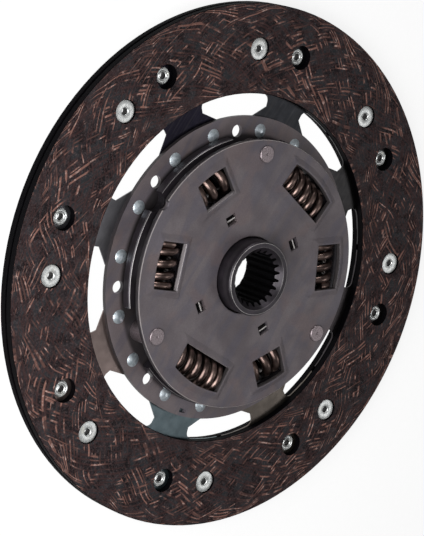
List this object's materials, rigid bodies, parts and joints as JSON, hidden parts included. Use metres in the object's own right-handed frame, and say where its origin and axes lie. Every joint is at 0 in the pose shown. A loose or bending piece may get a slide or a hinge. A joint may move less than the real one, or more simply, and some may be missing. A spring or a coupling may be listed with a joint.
{
  "type": "clutch disc",
  "caption": "Dry clutch disc with riveted friction facings on sprung cushion segments, a splined hub and a torsion damper of coil springs between two steel plates.",
  "frame": {"origin": "centre of the disc, in the plane of the rear facing's friction face, on which the disc lies", "axes": "+Z along the disc's axis towards the cover plate and the long end of the hub; +Y through the first stop pin"},
  "size_m": [0.24, 0.24, 0.0262],
  "materials": {
    "facing_compound": "wound friction compound, as ground",
    "spring_steel": "hardened and tempered blue-grey",
    "facing_rivet_steel": "plated, semi-bright",
    "zinc_rivet_steel": "bright zinc plated",
    "plate_steel": "phosphated, oiled",
    "pin_steel": "phosphated, oiled",
    "hub_steel": "turned, phosphated",
    "damper_spring_steel": "tempered brown",
    "friction_plastic": "moulded",
    "pressed_steel": "bright pressed"
  },
  "bodies": {
    "driven_plate": {"front_facing": "facing_compound", "rear_facing": "facing_compound", "cushion_segment_1": "spring_steel", "cushion_segment_2": "spring_steel", "cushion_segment_3": "spring_steel", "cushion_segment_4": "spring_steel", "cushion_segment_5": "spring_steel", "cushion_segment_6": "spring_steel", "cushion_segment_7": "spring_steel", "cushion_segment_8": "spring_steel", "front_facing_rivets": "facing_rivet_steel", "rear_facing_rivets": "facing_rivet_steel", "segment_rivets": "zinc_rivet_steel", "retainer_plate": "plate_steel", "cover_plate": "plate_steel", "stop_pin_1": "pin_steel", "stop_pin_2": "pin_steel", "stop_pin_3": "pin_steel", "rear_friction_washer": "friction_plastic", "centring_bush": "friction_plastic", "front_friction_washer": "friction_plastic", "pressure_ring": "pressed_steel", "disc_spring": "pressed_steel"},
    "hub_body": {"hub": "hub_steel"},
    "long_springs": {"long_spring_1": "damper_spring_steel", "long_spring_2": "damper_spring_steel", "inner_spring_1": "damper_spring_steel", "inner_spring_2": "damper_spring_steel"},
    "medium_springs": {"medium_spring_1": "damper_spring_steel", "medium_spring_2": "damper_spring_steel"},
    "short_springs": {"short_spring_1": "damper_spring_steel", "short_spring_2": "damper_spring_steel"}
  },
  "joints": [
    {"name": "damper_twist", "type": "hinge", "parent": "driven_plate", "child": "hub_body", "pos_m": [0, 0, 0.0101], "axis": [0, 0, 1], "range_deg": [-9, 9], "stiffness_Nm_per_rad": 60, "deforming": ["long_spring_1", "long_spring_2", "inner_spring_1", "inner_spring_2", "medium_spring_1", "medium_spring_2", "short_spring_1", "short_spring_2"]},
    {"name": "long_spring_travel", "type": "hinge", "parent": "driven_plate", "child": "long_springs", "pos_m": [0, 0, 0.0101], "axis": [0, 0, 1], "range_deg": [-4.6, 4.6]},
    {"name": "medium_spring_travel", "type": "hinge", "parent": "driven_plate", "child": "medium_springs", "pos_m": [0, 0, 0.0101], "axis": [0, 0, 1], "range_deg": [-3.3, 3.3]},
    {"name": "short_spring_travel", "type": "hinge", "parent": "driven_plate", "child": "short_springs", "pos_m": [0, 0, 0.0101], "axis": [0, 0, 1], "range_deg": [-2.4, 2.4]}
  ],
  "couplings": [
    {"joint": "long_spring_travel", "follows": "damper_twist", "ratio": 0.5},
    {"joint": "medium_spring_travel", "follows": "damper_twist", "ratio": 0.36},
    {"joint": "short_spring_travel", "follows": "damper_twist", "ratio": 0.25}
  ]
}
